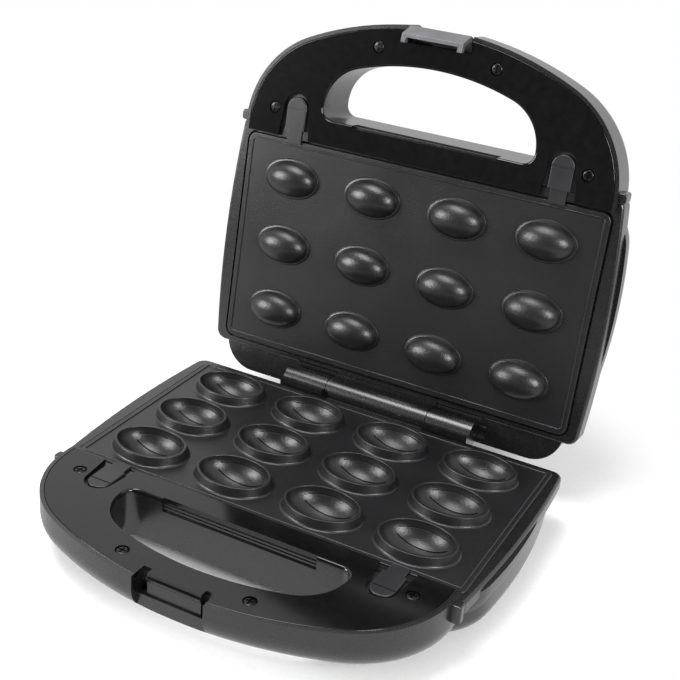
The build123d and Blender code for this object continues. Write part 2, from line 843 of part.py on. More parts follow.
# Dome plate: each dome stands on a low pad
with BuildPart() as dome:
    add(ellipsoid(dome_x, dome_y, dome_height - pad_height))
    split(bisect_by=Plane.XY, keep=Keep.TOP)
with BuildPart(lid_frame) as upper_mould_plate:
    with BuildSketch(lid_frame.offset(upper_plate_level)):
        add(plate_outline(0))
    extrude(amount=-plate_thickness)
    with BuildSketch(lid_frame.offset(upper_plate_level)):
        add(plate_outline(-bead_inset))
        add(plate_outline(-bead_inset - bead_width), mode=Mode.SUBTRACT)
    extrude(amount=bead_height)
    with BuildSketch(lid_frame.offset(upper_plate_level)):
        with GridLocations(pitch_x, pitch_y, columns, rows):
            Ellipse(pad_x, pad_y)
    extrude(amount=pad_height)
    for x in [(column - (columns - 1) / 2) * pitch_x for column in range(columns)]:
        for y in [(row - (rows - 1) / 2) * pitch_y for row in range(rows)]:
            with Locations((x, y, upper_plate_level + pad_height)):
                add(dome.part)
save(upper_mould_plate, "upper_mould_plate")

with BuildPart() as rubber_feet:
    with BuildSketch(Plane.XY):
        for foot_y in (foot_rear_y, foot_front_y):
            with Locations((-foot_x, grid_y + foot_y), (foot_x, grid_y + foot_y)):
                Circle(foot_radius)
    extrude(amount=foot_height + foot_recess)
save(rubber_feet, "rubber_feet")

for side, side_name in sides:
    near = side * (knuckle_inner - pin_reach)
    far = side * pin_end
    with BuildPart() as hinge_pin:
        add(round_about_hinge(base_frame, min(near, far), max(near, far), -hinge_drop, pin_radius))
    save(hinge_pin, "hinge_pin_" + side_name)

# Latch clip: a barrel, an arm and a barb that catches under the base's ledge
inner_lean = (latch_top_y - latch_end_y) / (latch_end_z - latch_top_z)
barb_root_y = latch_thickness - latch_top_y + inner_lean * (barb_face_z - latch_top_z)
with BuildPart() as latch_clip:
    with BuildSketch(section_plane(lid_frame, -latch_half)):
        with BuildLine():
            Polyline((-latch_top_y, latch_top_z), (-latch_end_y, latch_end_z), (-barb_tip_y, barb_tip_z),
                     (-barb_tip_y, barb_face_z), (barb_root_y, barb_face_z),
                     (latch_thickness - latch_top_y, latch_top_z),
                     (latch_root - latch_pivot_y, latch_pivot_z + latch_barrel_radius / 2),
                     (-latch_pivot_y - latch_barrel_radius, latch_pivot_z), close=True)
        make_face()
        with Locations((-latch_pivot_y, latch_pivot_z)):
            Circle(latch_barrel_radius)
            Circle(latch_pin_radius + fit_gap, mode=Mode.SUBTRACT)
    extrude(amount=2 * latch_half)
save(latch_clip, "latch_clip")

with BuildPart() as latch_pin:
    with BuildSketch(section_plane(lid_frame, -recess_half - latch_pin_inset + fit_gap)):
        with Locations((-latch_pivot_y, latch_pivot_z)):
            Circle(latch_pin_radius)
    extrude(amount=2 * (recess_half + latch_pin_inset - fit_gap))
save(latch_pin, "latch_pin")

# Cord gland: a bore, and a collar on each side of the base's rear wall
with BuildPart() as cord_gland:
    with BuildSketch(gland_plane.offset(-gland_collar - fit_gap)):
        Circle(gland_collar_radius)
    extrude(amount=gland_collar)
    with BuildSketch(gland_plane.offset(body_back - gland_boss_front + fit_gap)):
        Circle(gland_collar_radius)
    extrude(amount=gland_collar)
    with BuildSketch(gland_plane.offset(-gland_collar - fit_gap)):
        Circle(gland_neck_radius)
    extrude(amount=body_back - gland_boss_front + gland_collar + gland_reach)
    with BuildSketch(gland_plane.offset(-gland_collar - fit_gap)):
        Circle(gland_bore_radius)
    extrude(amount=body_back - gland_boss_front + gland_collar + gland_reach, mode=Mode.SUBTRACT)
save(cord_gland, "cord_gland")

floor_level = wall - body_depth
with BuildPart() as terminal_block:
    with BuildSketch(base_frame.offset(floor_level)):
        with Locations(terminal_place):
            RectangleRounded(terminal_x, terminal_y, terminal_round)
    extrude(amount=terminal_z)
save(terminal_block, "terminal_block")

with BuildPart() as thermostat:
    with BuildSketch(lid_frame.offset(upper_plate_level - pan_depth)):
        with Locations(thermostat_place):
            Circle(thermostat_radius)
    extrude(amount=-thermostat_height)
save(thermostat, "thermostat")

with BuildPart() as thermal_fuse:
    with BuildSketch(section_plane(base_frame, fuse_place[0] - fuse_length / 2)):
        with Locations((fuse_place[1], lower_plate_level - pan_depth - fuse_radius - fit_gap)):
            Circle(fuse_radius)
    extrude(amount=fuse_length)
save(thermal_fuse, "thermal_fuse")

# Lamps: a low dome outside the lid, a stem through its wall and a flange inside
for name, x in lamp_places:
    with BuildPart() as lamp:
        with BuildSketch(lid_frame.offset(-body_depth - lamp_dome)):
            with Locations((x, lamp_y)):
                Circle(lamp_radius)
        extrude(amount=lamp_dome + wall + lamp_tail)
        fillet(lamp.edges().group_by(height_axis(lid_frame))[0], lamp_dome)
        with BuildSketch(lid_frame.offset(floor_level)):
            with Locations((x, lamp_y)):
                Circle(lamp_flange_radius)
        extrude(amount=lamp_flange)
    save(lamp, name)
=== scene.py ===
import json
from math import asin, atan2, cos, pi, radians, sin, sqrt

import bmesh
import bpy
from mathutils import Matrix, Vector


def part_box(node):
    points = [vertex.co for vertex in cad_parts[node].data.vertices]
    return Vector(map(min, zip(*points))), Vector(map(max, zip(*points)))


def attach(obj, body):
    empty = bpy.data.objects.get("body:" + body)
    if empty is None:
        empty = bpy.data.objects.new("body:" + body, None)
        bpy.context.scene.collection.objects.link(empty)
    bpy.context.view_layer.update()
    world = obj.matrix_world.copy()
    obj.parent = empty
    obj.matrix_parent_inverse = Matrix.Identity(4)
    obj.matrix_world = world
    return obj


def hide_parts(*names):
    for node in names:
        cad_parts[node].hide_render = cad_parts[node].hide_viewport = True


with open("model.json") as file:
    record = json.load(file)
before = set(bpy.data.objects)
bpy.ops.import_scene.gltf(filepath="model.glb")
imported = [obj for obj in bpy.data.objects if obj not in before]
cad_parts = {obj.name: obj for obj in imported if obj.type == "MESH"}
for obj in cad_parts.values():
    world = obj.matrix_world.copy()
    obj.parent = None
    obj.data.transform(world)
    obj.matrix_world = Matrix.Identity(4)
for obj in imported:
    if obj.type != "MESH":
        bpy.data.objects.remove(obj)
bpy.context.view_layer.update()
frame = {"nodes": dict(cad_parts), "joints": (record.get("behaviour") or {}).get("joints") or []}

# A hinged maker of nut-shaped biscuits, lid open on its stop. Shapes are drawn in
# millimetres in the axes of one half, front at -y and the moulds up, and then placed
# on the base or the lid.

mm = 0.001
weld = 0.0005              # points closer than this become one
past = 2.0                 # how far a cutter reaches beyond what it cuts
leastRadius = 0.05         # what is left of a corner that an inset has used up

# Where the halves are, read from the frame
plateLow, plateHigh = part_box("lower_mould_plate")
plateMiddle = 1.0          # plate's centre behind the mould grid's
gridY = (plateLow.y + plateHigh.y) / 2 - plateMiddle * mm
rimZ = plateHigh.z
hinge = next(joint for joint in frame["joints"] if joint["name"] == "lid_hinge")
hingeAt = Vector(hinge["pos_m"])
closingGap = 0.4           # between the two plates when the lid is closed
openAngle = radians(hinge["range_deg"][1])

toMetres = Matrix.Scale(mm, 4)
basePlace = Matrix.Translation((0, gridY, rimZ)) @ toMetres
turnedOver = Matrix.Translation((0, gridY, rimZ + closingGap * mm)) @ Matrix.Rotation(pi, 4, "Y")
swing = Matrix.Translation(hingeAt) @ Matrix.Rotation(-openAngle, 4, "X") @ Matrix.Translation(-hingeAt)
lidPlace = swing @ turnedOver @ toMetres

# Each half's name, body and place, the sign that x has on its right, and the heights of
# its deck and its plate
baseHalf = {"name": "lower", "body": "base", "place": basePlace, "right": 1, "deck": -2.9, "plate": -5.0}
lidHalf = {"name": "upper", "body": "lid", "place": lidPlace, "right": -1, "deck": 2.9, "plate": 0.0}
halves = (baseHalf, lidHalf)
print("frame read")

# Outlines are lists of points, and every ring of a shell has as many
pointCounts = {"backCorner": 6, "corner": 26, "front": 48, "bowedFront": 12, "bowedSide": 24, "bowedBack": 10,
               "plateCorner": 10, "plateSide": 23}


def arc(x, y, radius, start, end, steps):
    sweep = (end - start) / steps
    return [(x + radius * cos(start + sweep * i), y + radius * sin(start + sweep * i)) for i in range(steps + 1)]


def dOutline(shape, inset):
    # Shallow front arc, wide corners, straight sides and a straight back
    reach = shape["radius"] - shape["corner"]
    cornerX = shape["half"] - shape["corner"]
    arcY = shape["radius"] - shape["apex"]
    cornerY = arcY - sqrt(reach ** 2 - cornerX ** 2)
    lean = atan2(arcY - cornerY, cornerX)
    corner = shape["corner"] - inset
    backCorner = max(shape["backCorner"] - inset, leastRadius)
    backY = -shape["back"] - inset - backCorner
    sideX = shape["half"] - inset - backCorner
    points = arc(sideX, backY, backCorner, pi / 2, 0, pointCounts["backCorner"])
    points += arc(cornerX, cornerY, corner, 0, -lean, pointCounts["corner"])
    points += arc(0, arcY, shape["radius"] - inset, -lean, lean - pi, pointCounts["front"])[1:-1]
    points += arc(-cornerX, cornerY, corner, lean - pi, -pi, pointCounts["corner"])
    points += arc(-sideX, backY, backCorner, pi, pi / 2, pointCounts["backCorner"])
    return points


def bowedOutline(shape, inset):
    # Straight front and back, sides bowed by one large arc, rounded corners
    sideX = shape["bulge"] - shape["radius"]
    spots = []
    for name, turn in (("front", -1), ("back", 1)):
        edgeY = turn * shape[name]
        corner = max(shape[name + "Corner"] - inset, leastRadius)
        reach = shape["radius"] - inset - corner
        y = edgeY - turn * (inset + corner)
        spots.append((sideX + sqrt(reach ** 2 - (y - shape["bulgeY"]) ** 2), y, corner,
                      asin((y - shape["bulgeY"]) / reach)))
    (frontX, frontY, frontCorner, frontLean), (backX, backY, backCorner, backLean) = spots
    right = arc(frontX, frontY, frontCorner, -pi / 2, frontLean, pointCounts["bowedFront"])
    right += arc(sideX, shape["bulgeY"], shape["radius"] - inset, frontLean, backLean,
                 pointCounts["bowedSide"])[1:-1]
    right += arc(backX, backY, backCorner, backLean, pi / 2, pointCounts["bowedBack"])
    return right + [(-x, y) for x, y in reversed(right)]


def plateOutline(shape, inset):
    # Rounded rectangle about the plate's centre
    corner = max(shape["corner"] - inset, leastRadius)
    steps = pointCounts["plateSide"]
    x = shape["x"] / 2 - inset - corner
    y = shape["y"] / 2 - inset - corner
    right = arc(x, plateMiddle - y, corner, -pi / 2, 0, pointCounts["plateCorner"])
    right += [(x + corner, plateMiddle - y + 2 * y * i / steps) for i in range(1, steps)]
    right += arc(x, plateMiddle + y, corner, 0, pi / 2, pointCounts["plateCorner"])
    return [(shape["middleX"] + px, py) for px, py in right + [(-px, py) for px, py in reversed(right)]]


def ringEdges(bm, ring):
    return [bm.edges.get(pair) for pair in zip(ring, ring[1:] + ring[:1])]


def loft(bm, sections, tip=None, capStart=False, capEnd=False):
    # Skin through sections, each an outline and a height, which is a level or gives one
    # at a point. Every section is the ring of edges before it, extruded and moved.
    ring = first = None
    for outline, height in sections:
        places = [(x, y, height(x, y) if callable(height) else height) for x, y in outline]
        if ring is None:
            ring = first = [bm.verts.new(place) for place in places]
            for pair in zip(ring, ring[1:] + ring[:1]):
                bm.edges.new(pair)
            continue
        ring = extrudeRing(bm, ring)
        for vert, place in zip(ring, places):
            vert.co = place
    if tip:
        ring = extrudeRing(bm, ring)
        bmesh.ops.pointmerge(bm, verts=ring, merge_co=tip)
    if capStart:
        bmesh.ops.contextual_create(bm, geom=ringEdges(bm, first))
    if capEnd:
        bmesh.ops.contextual_create(bm, geom=ringEdges(bm, ring))


def extrudeRing(bm, ring):
    swept = bmesh.ops.extrude_edge_only(bm, edges=ringEdges(bm, ring))
    fresh = {item for item in swept["geom"] if isinstance(item, bmesh.types.BMVert)}
    return [next(edge.other_vert(vert) for edge in vert.link_edges if edge.other_vert(vert) in fresh)
            for vert in ring]


def prisms(outlines, low, high):
    # Separate upright blocks in one mesh, to cut or to add
    bm = bmesh.new()
    for outline in outlines:
        loft(bm, [(outline, low), (outline, high)], capStart=True, capEnd=True)
    return bm


def extrusion(section, half):
    # Closed bar with one section all along x
    bm = bmesh.new()
    face = bm.faces.new([bm.verts.new((-half, y, z)) for y, z in section])
    swept = bmesh.ops.extrude_face_region(bm, geom=[face])
    moved = [item for item in swept["geom"] if isinstance(item, bmesh.types.BMVert)]
    bmesh.ops.translate(bm, verts=moved, vec=(2 * half, 0, 0))
    bmesh.ops.recalc_face_normals(bm, faces=bm.faces)
    return bm


def rounded(radius, steps):
    # Inset and drop along a quarter round, from the flat face to the wall
    return [(radius * (1 - sin(pi / 2 * i / steps)), radius * (1 - cos(pi / 2 * i / steps)))
            for i in range(steps + 1)]


def rectangle(x, y, width, length):
    return [(x - width / 2, y - length / 2), (x + width / 2, y - length / 2),
            (x + width / 2, y + length / 2), (x - width / 2, y + length / 2)]


def makeObject(name, bm):
    # Piece in the millimetres of its half, until dress() puts it in its place
    bmesh.ops.remove_doubles(bm, verts=bm.verts, dist=weld)
    bmesh.ops.recalc_face_normals(bm, faces=bm.faces)
    mesh = bpy.data.meshes.new(name)
    bm.to_mesh(mesh)
    bm.free()
    piece = bpy.data.objects.new(name, mesh)
    bpy.context.scene.collection.objects.link(piece)
    return piece


def combine(piece, cutter, operation):
    # One boolean, applied at once; the cutter is removed again
    tool = makeObject(piece.name + "_cutter", cutter)
    cut = piece.modifiers.new("cut", "BOOLEAN")
    cut.operation = operation
    cut.solver = "EXACT"
    cut.object = tool
    graph = bpy.context.evaluated_depsgraph_get()
    carved = bpy.data.meshes.new_from_object(piece.evaluated_get(graph))
    piece.modifiers.clear()
    piece.data = carved
    bpy.data.objects.remove(tool)


def carve(piece, *cutters):
    for cutter in cutters:
        combine(piece, cutter, "DIFFERENCE")


def joinBlocks(piece, blocks):
    # Adds closed blocks to a piece, each with its own faces outwards
    bmesh.ops.recalc_face_normals(blocks, faces=blocks.faces)
    blocks.from_mesh(piece.data)
    blocks.to_mesh(piece.data)
    blocks.free()


def dress(piece, half, material, nodes=(), angle=30, body=None):
    # Puts a finished piece on its half, with its material, shading and body
    piece.data.transform(half["place"])
    piece.data.materials.clear()
    piece.data.materials.append(material)
    for polygon in piece.data.polygons:
        polygon.use_smooth = True
    piece.data.set_sharp_from_angle(angle=radians(angle))
    even = piece.modifiers.new("even shading", "WEIGHTED_NORMAL")
    even.keep_sharp = True
    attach(piece, body or half["body"])
    if nodes:
        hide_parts(*nodes)


def srgb(code):
    # Linear colour of an sRGB hex code
    channels = [int(code[i:i + 2], 16) / 255 for i in (1, 3, 5)]
    linear = [c / 12.92 if c <= 0.04045 else ((c + 0.055) / 1.055) ** 2.4 for c in channels]
    return (*linear, 1)


def addNode(tree, kind, settings=None, inputs=None, links=None):
    # One node with its settings, input values, and links from (node, output)
    node = tree.nodes.new(kind)
    for key, value in (settings or {}).items():
        setattr(node, key, value)
    for key, value in (inputs or {}).items():
        node.inputs[key].default_value = value
    for key, (source, output) in (links or {}).items():
        tree.links.new(source.outputs[output], node.inputs[key])
    return node


def makeMaterial(name, look):
    # Every material has up to three noises on Object coordinates, with sizes in
    # millimetres: "colour" mixes two tones, "rough" moves the roughness between two
    # values, and "relief" is the bump. "span" is the part of the noise that is used.
    material = bpy.data.materials.new(name)
    material.use_nodes = True
    tree = material.node_tree
    tree.nodes.clear()
    where = addNode(tree, "ShaderNodeTexCoord")
    links = {}
    for use in ("colour", "rough", "relief"):
        if use not in look:
            continue
        values = {"detail": 2, "contrast": 0.5, "span": (0.3, 0.7), "stretch": (1, 1, 1), **look[use]}
        place = addNode(tree, "ShaderNodeMapping", inputs={"Scale": values["stretch"]},
                        links={"Vector": (where, "Object")})
        noise = addNode(tree, "ShaderNodeTexNoise", links={"Vector": (place, "Vector")},
                        inputs={"Scale": 1 / (values["size"] * mm), "Detail": values["detail"],
                                "Roughness": values["contrast"]})
        if use == "relief":
            relief = addNode(tree, "ShaderNodeBump", links={"Height": (noise, "Fac")},
                             inputs={"Strength": values["strength"], "Distance": values["deep"] * mm})
            links["Normal"] = (relief, "Normal")
            continue
        low, high = values["between"] if use == "rough" else (0, 1)
        share = addNode(tree, "ShaderNodeMapRange", links={"Value": (noise, "Fac")},
                        inputs={"From Min": values["span"][0], "From Max": values["span"][1],
                                "To Min": low, "To Max": high})
        if use == "rough":
            links["Roughness"] = (share, "Result")
            continue
        dark, light = values["between"]
        mix = addNode(tree, "ShaderNodeMix", {"data_type": "RGBA"}, {6: srgb(dark), 7: srgb(light)},
                      {0: (share, "Result")})
        links["Base Color"] = (mix, 2)
    shader = addNode(tree, "ShaderNodeBsdfPrincipled", inputs=look["sockets"], links=links)
    addNode(tree, "ShaderNodeOutputMaterial", links={"Surface": (shader, "BSDF")})
    return material


# ABS from a finely blasted mould, on the housings: deep black under a broad, soft
# reflection, with a faint ripple and an uneven gloss. The blasting itself is finer than
# shows, so the gloss changes every 0.7 mm.
housingAbs = {"sockets": {"IOR": 1.5, "Specular IOR Level": 0.8},
              "colour": {"between": ("#070708", "#0c0c0d"), "size": 3.85, "detail": 1},
              "rough": {"between": (0.27, 0.35), "size": 0.714, "detail": 3, "contrast": 0.6, "span": (0.45, 0.75)},
              "relief": {"size": 3.85, "detail": 1, "strength": 0.02, "deep": 0.2}}
# The same ABS from a polished mould, on the decks: black, with a clearer reflection
deckAbs = {**housingAbs, "sockets": {"IOR": 1.5, "Specular IOR Level": 0.45},
           "rough": {**housingAbs["rough"], "between": (0.10, 0.16)}}
# Sprayed non-stick coat on cast aluminium: charcoal with a fine speckle, a satin sheen
# and a pebbled surface that breaks up the highlights. Flecks and pebbles are really
# about 0.1 mm, too fine to show, and are drawn at 0.4 and 0.9 mm.
nonStickCoat = {"sockets": {"IOR": 1.5, "Specular IOR Level": 0.5},
                "colour": {"between": ("#101011", "#1b1b1d"), "size": 0.385, "contrast": 0.7, "span": (0.4, 0.72)},
                "rough": {"between": (0.29, 0.36), "size": 33.3},
                "relief": {"size": 0.909, "detail": 3, "contrast": 0.6, "strength": 0.55, "deep": 0.2}}
# Nylon from a spark-eroded mould, on the release buttons: black, with a grain of about
# 0.5 mm that scatters the gloss
buttonNylon = {"sockets": {"IOR": 1.5, "Roughness": 0.38},
               "colour": {"between": ("#161618", "#1e1e20"), "size": 8.33},
               "relief": {"size": 0.556, "contrast": 0.6, "strength": 0.12, "deep": 0.1}}
# The same nylon, dyed grey, on the latch clip: a lighter, slightly shinier satin
clipNylon = {**buttonNylon, "sockets": {"IOR": 1.5, "Roughness": 0.34},
             "colour": {"between": ("#4a4a4c", "#565658"), "size": 8.33}}
# Pressed rubber, on the feet and the gland: matt, dull black, with a coarse bloom
pressedRubber = {"sockets": {"IOR": 1.5, "Roughness": 0.75},
                 "colour": {"between": ("#151515", "#1d1d1d"), "size": 8.33},
                 "relief": {"size": 1.11, "contrast": 0.6, "strength": 0.35, "deep": 0.1}}
# Heat-proof thermoset, on the terminal block: cream, half matt
creamThermoset = {**buttonNylon, "sockets": {"IOR": 1.5, "Roughness": 0.5},
                  "colour": {"between": ("#c9c2ae", "#d8d2c0"), "size": 8.33}}
# Clear moulded lenses of the power and ready lamps: smooth, with a sharp small highlight
redLens = {"sockets": {"IOR": 1.5, "Roughness": 0.12},
           "colour": {"between": ("#7d0f0c", "#96140f"), "size": 8.33},
           "relief": {"size": 5.0, "contrast": 0.6, "strength": 0.02, "deep": 0.1}}
greenLens = {**redLens, "colour": {"between": ("#0f5a24", "#146b2c"), "size": 8.33}}
# Steel under a black oxide, on the screws: dark metal with soft turning marks. Such
# marks are finer than shows on any of the metals, so they are drawn 1.1 mm apart.
blackSteel = {"sockets": {"Metallic": 1.0},
              "colour": {"between": ("#2b2b2d", "#3a3a3c"), "size": 11.1, "detail": 3},
              "rough": {"between": (0.24, 0.375), "size": 1.11, "detail": 3, "contrast": 0.6},
              "relief": {"size": 1.11, "detail": 3, "contrast": 0.6, "strength": 0.08, "deep": 0.05}}


def drawnMetal(tones, between, stretch):
    # The same marks in other tones, drawn out in one direction
    marks = {"stretch": stretch}
    return {**blackSteel, "colour": {**blackSteel["colour"], "between": tones},
            "rough": {**blackSteel["rough"], "between": between, **marks},
            "relief": {**blackSteel["relief"], **marks}}


materials = {name: makeMaterial(name, look) for name, look in {
    "blasted_black_abs": housingAbs, "polished_black_abs": deckAbs, "non_stick_coating": nonStickCoat,
    "satin_black_nylon": buttonNylon, "satin_grey_nylon": clipNylon, "black_rubber": pressedRubber,
    "cream_thermoset": creamThermoset, "red_lamp_lens": redLens, "green_lamp_lens": greenLens,
    "blackened_steel": blackSteel,
    # cold-drawn strip and wire: pale grey, with marks along it
    "spring_steel": drawnMetal(("#8d8f92", "#a5a7aa"), (0.2, 0.3125), (1, 8, 1)),
    # rolled sheet with a bright aluminium coat: the lightest metal, softly brushed
    "aluminised_sheet": drawnMetal(("#a9abad", "#bfc1c2"), (0.28, 0.4375), (0.1, 1, 1)),
    # drawn tube that heat has tinted: brown grey, half matt
    "heater_sheath": drawnMetal(("#5c5753", "#77716b"), (0.336, 0.525), (0.2, 1, 1))}.items()}

cadLooks = {
    "housing": "blasted_black_abs", "deck_screws": "blackened_steel", "deck": "polished_black_abs",
    "mould_plate": "non_stick_coating", "reflector_pan": "aluminised_sheet", "heating_element": "heater_sheath",
    "heater_clamps": "aluminised_sheet", "button_spring": "spring_steel", "release_button": "satin_black_nylon",
    "rubber_feet": "black_rubber", "hinge_pin": "spring_steel", "latch_clip": "satin_grey_nylon",
    "latch_pin": "spring_steel", "cord_gland": "black_rubber", "terminal_block": "cream_thermoset",
    "thermostat": "aluminised_sheet", "thermal_fuse": "aluminised_sheet", "power_lamp": "red_lamp_lens",
    "ready_lamp": "green_lamp_lens"}
for nodeName, node in frame["nodes"].items():
    look = next(name for key, name in cadLooks.items() if key in nodeName)
    node.data.materials.clear()
    node.data.materials.append(materials[look])
print("materials made")


# Mould plates: a thin slab with a raised bead, and twelve cups or domes
plate = {"x": 211.0, "y": 121.0, "middleX": 0.0, "corner": 5.0, "thickness": 2.5, "edgeRound": 0.6,
         "underChamfer": 0.5, "beadInset": 2.4, "beadWidth": 1.1, "beadHeight": 0.5, "beadFoot": 0.3,
         "beadRings": 6}
flange = {"x": 213.3, "y": 121.4, "middleX": 1.1, "corner": 2.6, "thickness": 0.85}    # base plate's, over the rim
mould = {"pitchX": 50.0, "pitchY": 38.3, "columns": 4, "rows": 3, "segments": 72}
cup = {"x": 19.8, "y": 14.75, "lip": 1.5, "lipRound": 0.38, "flare": 0.9, "footRound": 1.3, "skirt": 0.3,
       "lift": 0.01, "depth": 12.0, "hollowFrom": 0.6, "wall": 2.0, "rings": 16, "underRings": 10, "footRings": 8}
seam = {"x": 12.8, "y": 6.0, "top": 3.3, "width": 0.75, "deep": 0.62, "soft": 0.12, "sharpFrom": 38,
        "margin": 0.3, "cutTop": 0.3, "endGap": 0.5, "rings": 24, "inside": 0.985, "outside": 1.006}
dome = {"padX": 16.8, "padY": 11.1, "padHeight": 0.8, "padRound": 0.3, "padRings": 4, "sunk": 0.4, "x": 15.5,
        "y": 9.8, "height": 9.0, "footRound": 0.7, "footMiddle": 0.3, "footHeight": 0.25, "rings": 17}


def mouldPlaces():
    # Middles of the cups and domes, a grid about the origin
    return [((column - (mould["columns"] - 1) / 2) * mould["pitchX"],
             (row - (mould["rows"] - 1) / 2) * mould["pitchY"])
            for column in range(mould["columns"]) for row in range(mould["rows"])]


def around(centre, a, b):
    # Points round an ellipse
    steps = mould["segments"]
    return [(centre[0] + a * cos(2 * pi * i / steps), centre[1] + b * sin(2 * pi * i / steps)) for i in range(steps)]


def bowl(grow, top, rings):
    # Ellipsoid of the cup's hollow, from its rim down, with its edge at the given height
    a, b, depth = cup["x"] - cup["lip"] + grow, cup["y"] - cup["lip"] + grow, cup["depth"] + grow
    start = asin(-top / depth)
    turns = [start + (pi / 2 - start) * i / rings for i in range(rings)]
    return [(around((0, 0), a * cos(turn), b * cos(turn)), -depth * sin(turn)) for turn in turns], (0, 0, -depth)


def seamCutter():
    # A slightly wider bowl, kept only along the upper line and at the line's foot
    bm = bmesh.new()
    wide, bottom = bowl(seam["deep"], -seam["cutTop"], seam["rings"])
    loft(bm, wide, tip=bottom, capStart=True)
    tool = makeObject("cup_line_pattern", bm)
    reach = cup["y"] + past - seam["y"]
    lineFoot = -seam["top"] - seam["width"]
    blocks = prisms([rectangle(0, side * (seam["y"] + reach / 2), 2 * seam["x"], reach) for side in (-1, 1)],
                    lineFoot, -seam["top"])
    lower = prisms([rectangle(0, side * seam["y"], 2 * seam["x"], seam["width"]) for side in (-1, 1)],
                   -cup["depth"], lineFoot - seam["endGap"])
    spare = bpy.data.meshes.new("lower_lines")
    lower.to_mesh(spare)
    lower.free()
    blocks.from_mesh(spare)
    combine(tool, blocks, "INTERSECT")
    cutter = bmesh.new()
    cutter.from_mesh(tool.data)
    bpy.data.objects.remove(tool)
    return cutter


def onSeam(place):
    # True at the upper edges of a line, on the bowl's own face
    a, b, depth = cup["x"] - cup["lip"], cup["y"] - cup["lip"], cup["depth"]
    reach = sqrt((place.x / a) ** 2 + (place.y / b) ** 2 + (place.z / depth) ** 2)
    return place.z < seam["margin"] - seam["top"] and seam["inside"] < reach < seam["outside"]


def buildCup(level):
    # One closed shell: up from the plate, over the lip, down the bowl, and back below.
    # Two fine lines in each long side of the bowl are the nut's seams.
    foot = cup["footRound"]
    base = level + cup["lift"]
    spread = cup["flare"] + foot + cup["skirt"]
    sections = [(around((0, 0), cup["x"] + spread, cup["y"] + spread), base)]
    for i in range(cup["footRings"] + 1):
        turn = pi / 2 * i / cup["footRings"]
        out = cup["flare"] + foot * (1 - sin(turn))
        sections.append((around((0, 0), cup["x"] + out, cup["y"] + out), base + foot * (1 - cos(turn))))
    lip = rounded(cup["lipRound"], steps=4)
    for out, drop in lip[::-1] + [(cup["lip"] - out, drop) for out, drop in lip]:
        sections.append((around((0, 0), cup["x"] - out, cup["y"] - out), -drop))
    hollow, lowest = bowl(0, -cup["hollowFrom"], cup["rings"])
    under, deepest = bowl(cup["wall"], level - plate["thickness"] / 2, cup["underRings"])
    bm = bmesh.new()
    loft(bm, sections + hollow, tip=lowest)
    loft(bm, [sections[0]] + under, tip=deepest)
    piece = makeObject("cup_pattern", bm)
    carve(piece, seamCutter())
    cast = bmesh.new()
    cast.from_mesh(piece.data)
    bpy.data.objects.remove(piece)
    edges = [edge for edge in cast.edges if edge.calc_face_angle(0) > radians(seam["sharpFrom"])
             and all(onSeam(vert.co) for vert in edge.verts)]
    bmesh.ops.bevel(cast, geom=edges, offset=seam["soft"], segments=2, profile=0.5, affect="EDGES", material=-1,
                    clamp_overlap=True)
    bmesh.ops.remove_doubles(cast, verts=cast.verts, dist=weld)
    return cast


def buildDome(bm, centre, level):
    # One closed shell: a low pad with a softened edge, and the dome on it
    soft = dome["padRound"]
    pad = around(centre, dome["padX"] + soft, dome["padY"] + soft)
    sections = [(pad, level - dome["sunk"]), (pad, level)]
    for i in range(dome["padRings"] + 1):
        turn = pi / 2 * i / dome["padRings"]
        inward = soft * (1 - cos(turn))
        sections.append((around(centre, dome["padX"] - inward, dome["padY"] - inward),
                         level + dome["padHeight"] - soft * (1 - sin(turn))))
    top = level + dome["padHeight"]
    for share, rise in ((1, 0), (dome["footMiddle"], dome["footHeight"])):
        foot = dome["footRound"] * share
        sections.append((around(centre, dome["x"] + foot, dome["y"] + foot), top + dome["footRound"] * rise))
    height = dome["height"] - dome["padHeight"]
    for i in range(1, dome["rings"]):
        turn = pi / 2 * i / dome["rings"]
        sections.append((around(centre, dome["x"] * cos(turn), dome["y"] * cos(turn)), top + height * sin(turn)))
    loft(bm, sections, tip=(*centre, top + height), capStart=True)


def buildPlate(half):
    level = half["plate"]
    under = level - plate["thickness"]
    inset, width = plate["beadInset"], plate["beadWidth"]
    chamfer = plate["underChamfer"]
    sections = [(plateOutline(plate, chamfer), under), (plateOutline(plate, 0), under + chamfer)]
    edge = plate
    if half is baseHalf:
        edge = flange
        step = level - flange["thickness"]
        sections += [(plateOutline(plate, 0), step), (plateOutline(flange, 0), step)]
    side = reversed(rounded(plate["edgeRound"], steps=5))
    sections += [(plateOutline(edge, out), level - drop) for out, drop in side]
    sections.append((plateOutline(edge, inset - plate["beadFoot"]), level))
    for i in range(plate["beadRings"] + 1):
        turn = pi * i / plate["beadRings"]
        sections.append((plateOutline(edge, inset + width / 2 * (1 - cos(turn))),
                         level + plate["beadHeight"] * sin(turn)))
    sections.append((plateOutline(edge, inset + width + plate["beadFoot"]), level))
    bm = bmesh.new()
    loft(bm, sections, capStart=True, capEnd=True)
    piece = makeObject(half["name"] + "_mould_plate_cast", bm)
    moulds = bmesh.new()
    if half is baseHalf:
        carve(piece, prisms([around(centre, cup["x"], cup["y"]) for centre in mouldPlaces()],
                            under - past, level + past))
        castCup = buildCup(level)
        pattern = bpy.data.meshes.new("cup_cast")
        for x, y in mouldPlaces():
            castCup.to_mesh(pattern)
            pattern.transform(Matrix.Translation((x, y, 0)))
            moulds.from_mesh(pattern)
        castCup.free()
    else:
        for centre in mouldPlaces():
            buildDome(moulds, centre, level)
        bmesh.ops.remove_doubles(moulds, verts=moulds.verts, dist=weld)
    joinBlocks(piece, moulds)
    dress(piece, half, materials["non_stick_coating"], [half["name"] + "_mould_plate"], angle=35)


